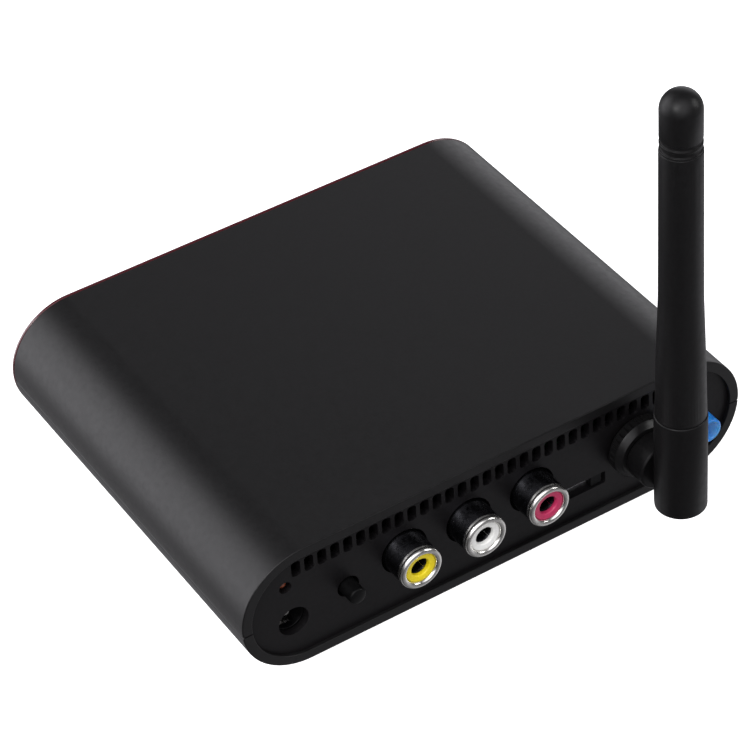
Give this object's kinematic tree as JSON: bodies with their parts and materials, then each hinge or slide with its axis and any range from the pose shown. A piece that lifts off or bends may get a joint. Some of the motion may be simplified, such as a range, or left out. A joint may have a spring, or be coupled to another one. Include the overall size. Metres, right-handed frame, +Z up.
{
  "type": "wireless audio video receiver",
  "caption": "Flat wireless audio and video receiver with phono sockets, a channel switch, a smoked front window and a hinged rod antenna.",
  "frame": {"origin": "middle of the footprint, on the surface the receiver stands on", "axes": "+X along the connector panel, to the right as seen from the connector side; connectors and antenna at -Y; +Z up"},
  "size_m": [0.1054, 0.1018, 0.0988],
  "materials": {
    "case_plastic": "fine-grained satin black",
    "panel_plastic": "satin black",
    "window_plastic": "polished smoked red acrylic",
    "foot_rubber": "matte",
    "steel": "zinc plated",
    "board_laminate": "green solder mask",
    "black_nylon": "moulded black",
    "nickel": "bright nickel plate",
    "yellow_plastic": "moulded yellow",
    "white_plastic": "moulded white",
    "red_plastic": "moulded red",
    "blue_plastic": "moulded blue",
    "gold": "gold plate",
    "ptfe": "white PTFE",
    "led_amber": "clear amber resin",
    "led_red": "clear red resin",
    "coax_jacket": "brown jacket",
    "antenna_plastic": "satin black",
    "antenna_rubber": "soft-touch black",
    "black_nut": "black plated, knurled",
    "capacitor_sleeve": "dark blue sleeve"
  },
  "bodies": {
    "case": {"upper_shell": "case_plastic", "lower_shell": "case_plastic", "rear_panel": "panel_plastic", "front_window": "window_plastic", "rubber_feet": "foot_rubber", "case_screws": "steel", "main_board": "board_laminate", "board_screws": "steel", "video_jack_body": "black_nylon", "left_jack_body": "black_nylon", "right_jack_body": "black_nylon", "video_jack_sleeve": "nickel", "left_jack_sleeve": "nickel", "right_jack_sleeve": "nickel", "video_jack_insulator": "yellow_plastic", "left_jack_insulator": "white_plastic", "right_jack_insulator": "red_plastic", "video_jack_contact": "nickel", "left_jack_contact": "nickel", "right_jack_contact": "nickel", "dc_jack_body": "black_nylon", "dc_jack_pin": "nickel", "dc_jack_spring": "nickel", "power_switch_body": "black_nylon", "power_switch_spring": "steel", "channel_switch_base": "black_nylon", "channel_switch_frame": "steel", "ir_jack_body": "black_nylon", "ir_jack_collar": "blue_plastic", "ir_jack_springs": "gold", "status_led": "led_amber", "status_led_leads": "steel", "sma_jack": "gold", "sma_insulator": "ptfe", "sma_contact": "gold", "sma_washer": "nickel", "sma_nut": "gold", "coax_pigtail": "coax_jacket", "pigtail_plug": "gold", "tuner_can": "nickel", "decoder_chip": "black_nylon", "regulator": "black_nylon", "capacitors": "capacitor_sleeve", "crystal": "steel", "ir_receiver": "black_nylon", "front_led": "led_red"},
    "coupling_nut": {"coupling_nut": "black_nut"},
    "antenna_arm": {"antenna_arm": "antenna_plastic", "antenna_ferrule": "gold", "antenna_pin": "gold", "arm_feed": "coax_jacket"},
    "antenna_rod": {"hinge_pins": "steel", "antenna_base": "antenna_plastic", "antenna_sleeve": "antenna_rubber", "antenna_cap": "antenna_rubber", "antenna_radiator": "gold", "antenna_choke": "gold", "antenna_feed": "coax_jacket"},
    "power_button": {"power_button": "black_nylon"},
    "channel_knob": {"channel_knob": "black_nylon"}
  },
  "joints": [
    {"name": "antenna_swivel", "type": "hinge", "parent": "case", "child": "antenna_arm", "pos_m": [0.0298, -0.03893, 0.0147], "axis": [0, 1, 0], "range_deg": [-90, 90]},
    {"name": "antenna_tilt", "type": "hinge", "parent": "antenna_arm", "child": "antenna_rod", "pos_m": [0.0298, -0.04603, 0.0147], "axis": [1, 0, 0], "range_deg": [0, 91]},
    {"name": "coupling_nut_turn", "type": "hinge", "parent": "case", "child": "coupling_nut", "pos_m": [0.0298, -0.03593, 0.0147], "axis": [0, 1, 0], "continuous": true},
    {"name": "power_button_press", "type": "slide", "parent": "case", "child": "power_button", "axis": [0, 1, 0], "range_m": [0, 0.0018], "stiffness_N_per_m": 600, "springref_m": -0.0006, "deforming": ["power_switch_spring"]},
    {"name": "channel_select", "type": "slide", "parent": "case", "child": "channel_knob", "axis": [1, 0, 0], "range_m": [-0.006, 0]}
  ]
}
